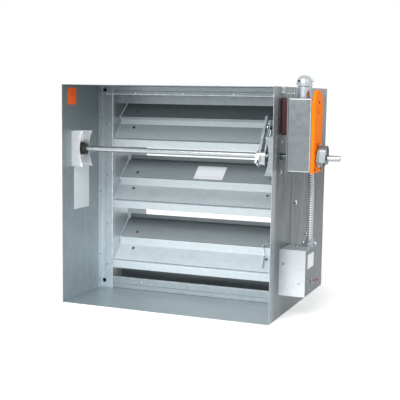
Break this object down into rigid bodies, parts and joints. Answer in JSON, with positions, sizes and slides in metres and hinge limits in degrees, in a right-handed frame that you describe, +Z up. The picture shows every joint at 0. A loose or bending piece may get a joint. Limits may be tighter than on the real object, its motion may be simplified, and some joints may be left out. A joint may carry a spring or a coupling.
{
  "type": "smoke damper",
  "caption": "Motorised smoke damper: parallel V-ridge blades in a hat-section frame inside a sheet-metal sleeve, turned by a jackshaft and a side-mounted actuator.",
  "frame": {"origin": "centre of the sleeve's bottom outer face", "axes": "+X towards the actuator side, +Y along the duct from the jackshaft end to the rear end, +Z up"},
  "size_m": [0.9565, 0.686, 0.799],
  "materials": {
    "galvanised_sheet": "spangled galvanised sheet, satin",
    "frame_steel": "galvanised formed sheet, satin",
    "blade_steel": "galvanised formed sheet, satin",
    "zinc_hardware": "bright zinc plate",
    "bright_bracket": "bright zinc plate",
    "shaft_steel": "plated round bar, semi-bright",
    "dark_steel": "dark oiled steel",
    "bush_bronze": "sintered bronze",
    "seal_rubber": "silicone rubber, matt",
    "actuator_shell": "plain aluminium casing, satin",
    "orange_plastic": "orange moulded plastic",
    "grey_plastic": "light grey moulded plastic",
    "cast_zinc": "die-cast zinc, satin",
    "flexible_conduit": "spiral wound steel strip",
    "box_steel": "galvanised box steel",
    "black_plastic": "black moulded plastic",
    "red_plastic": "red moulded plastic"
  },
  "bodies": {
    "damper_frame": {"actuator_back_plate": "orange_plastic", "actuator_cover": "orange_plastic", "actuator_housing": "actuator_shell", "anti_rotation_bracket": "zinc_hardware", "anti_rotation_screws": "zinc_hardware", "blade_bushes": "bush_bronze", "bracket_screws": "zinc_hardware", "conduit": "flexible_conduit", "control_box_body": "box_steel", "control_box_cover": "box_steel", "control_box_screws": "zinc_hardware", "corner_brackets": "frame_steel", "elbow_connector": "cast_zinc", "frame_head": "frame_steel", "frame_sill": "frame_steel", "head_stop": "frame_steel", "head_stop_seal": "seal_rubber", "jamb_left": "frame_steel", "jamb_right": "frame_steel", "shaft_bearing_left": "dark_steel", "shaft_bearing_right": "dark_steel", "shaft_bracket_left": "bright_bracket", "shaft_bracket_right": "bright_bracket", "side_seals": "frame_steel", "sill_stop": "frame_steel", "sleeve_bottom_sheet": "galvanised_sheet", "sleeve_left_wall": "galvanised_sheet", "sleeve_right_wall": "galvanised_sheet", "sleeve_screws": "zinc_hardware", "sleeve_top_sheet": "galvanised_sheet", "straight_connector": "cast_zinc", "switch_block": "black_plastic", "toggle_bushing": "zinc_hardware"},
    "jackshaft": {"jackshaft": "shaft_steel", "crank_arm": "zinc_hardware", "crank_saddle": "zinc_hardware", "crank_u_bolt": "zinc_hardware", "crank_pin": "dark_steel", "actuator_hub": "shaft_steel", "position_pointer": "grey_plastic", "clamp_yoke": "zinc_hardware", "clamp_jaw": "dark_steel"},
    "blade_1": {"blade_1_skin": "blade_steel", "blade_1_axles": "shaft_steel", "blade_1_straps": "zinc_hardware", "blade_1_seal": "seal_rubber"},
    "blade_2": {"blade_2_skin": "blade_steel", "blade_2_axles": "shaft_steel", "blade_2_straps": "zinc_hardware", "blade_2_seal": "seal_rubber", "drive_bracket": "zinc_hardware", "drive_bracket_pin": "zinc_hardware"},
    "blade_3": {"blade_3_skin": "blade_steel", "blade_3_axles": "shaft_steel", "blade_3_straps": "zinc_hardware", "blade_3_seal": "seal_rubber", "switch_trip_wire": "zinc_hardware"},
    "drive_link": {"drive_link": "zinc_hardware"},
    "tie_bar": {"tie_bar": "zinc_hardware"},
    "toggle_lever": {"toggle_lever": "red_plastic"}
  },
  "joints": [
    {"name": "jackshaft_turn", "type": "hinge", "parent": "damper_frame", "child": "jackshaft", "pos_m": [0, -0.2445, 0.5375], "axis": [1, 0, 0], "range_deg": [-51.05, 38.95]},
    {"name": "blade_1_pivot", "type": "hinge", "parent": "damper_frame", "child": "blade_1", "pos_m": [0, 0.0065, 0.63], "axis": [1, 0, 0], "range_deg": [-51.05, 38.95]},
    {"name": "blade_2_pivot", "type": "hinge", "parent": "damper_frame", "child": "blade_2", "pos_m": [0, 0.0065, 0.4014], "axis": [1, 0, 0], "range_deg": [-51.05, 38.95]},
    {"name": "blade_3_pivot", "type": "hinge", "parent": "damper_frame", "child": "blade_3", "pos_m": [0, 0.0065, 0.1728], "axis": [1, 0, 0], "range_deg": [-51.05, 38.95]},
    {"name": "drive_link_pivot", "type": "hinge", "parent": "jackshaft", "child": "drive_link", "pos_m": [0.319, -0.20335, 0.62864], "axis": [1, 0, 0], "range_deg": [-38.95, 51.05]},
    {"name": "tie_bar_pivot", "type": "hinge", "parent": "blade_1", "child": "tie_bar", "pos_m": [0.349, -0.03129, 0.62599], "axis": [1, 0, 0], "range_deg": [-38.95, 51.05]},
    {"name": "toggle_lever_tip", "type": "hinge", "parent": "damper_frame", "child": "toggle_lever", "pos_m": [0.4715, -0.161, 0.121], "axis": [0, 1, 0], "range_deg": [0, 24]}
  ],
  "couplings": [
    {"joint": "blade_1_pivot", "follows": "jackshaft_turn", "ratio": 1},
    {"joint": "blade_2_pivot", "follows": "jackshaft_turn", "ratio": 1},
    {"joint": "blade_3_pivot", "follows": "jackshaft_turn", "ratio": 1},
    {"joint": "drive_link_pivot", "follows": "jackshaft_turn", "ratio": -1},
    {"joint": "tie_bar_pivot", "follows": "jackshaft_turn", "ratio": -1}
  ]
}
